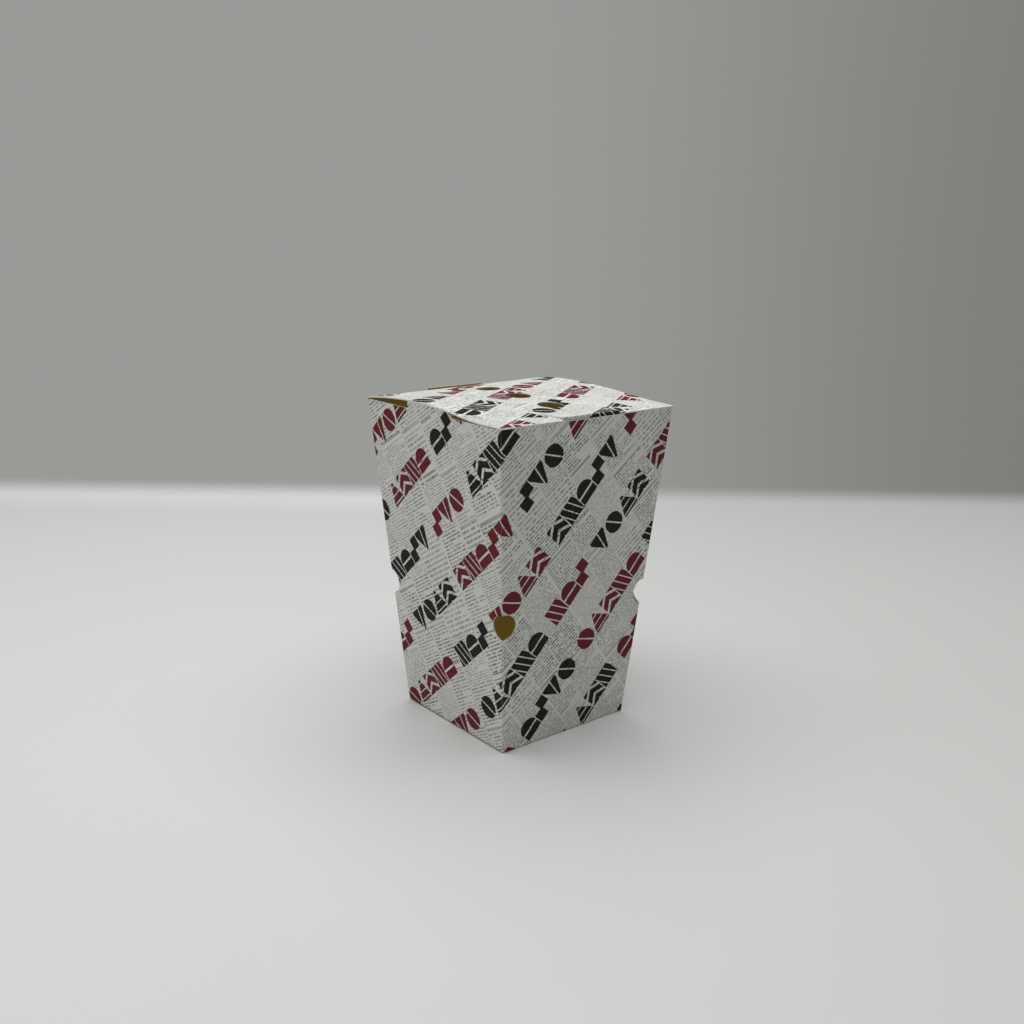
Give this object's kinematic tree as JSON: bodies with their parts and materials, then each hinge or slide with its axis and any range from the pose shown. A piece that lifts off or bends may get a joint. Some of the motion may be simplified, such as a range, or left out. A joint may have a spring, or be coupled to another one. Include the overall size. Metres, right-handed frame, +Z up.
{
  "type": "hinged chip box",
  "caption": "Tapered square board carton for takeaway chips, with an arched lid hinged on its back rim that tucks in behind the front wall, and round steam vents in its lid and corner folds.",
  "frame": {"origin": "on the table, under the middle of the base", "axes": "+Z up, -Y out of the front wall that the lid tucks behind, +Y out of the hinge wall, +X out of the right side wall"},
  "size_m": [0.1003, 0.1, 0.1545],
  "materials": {
    "printed_board": "matte, white printed face outside and brown kraft inside",
    "printed_lid_board": "matte, white printed face outside and brown kraft inside"
  },
  "bodies": {
    "carton": {"carton": "printed_board"},
    "lid": {"lid": "printed_lid_board"}
  },
  "joints": [
    {"name": "lid_hinge", "type": "hinge", "parent": "carton", "child": "lid", "pos_m": [0, 0.0496, 0.15055], "axis": [-1, 0, 0], "range_deg": [0, 180]}
  ]
}
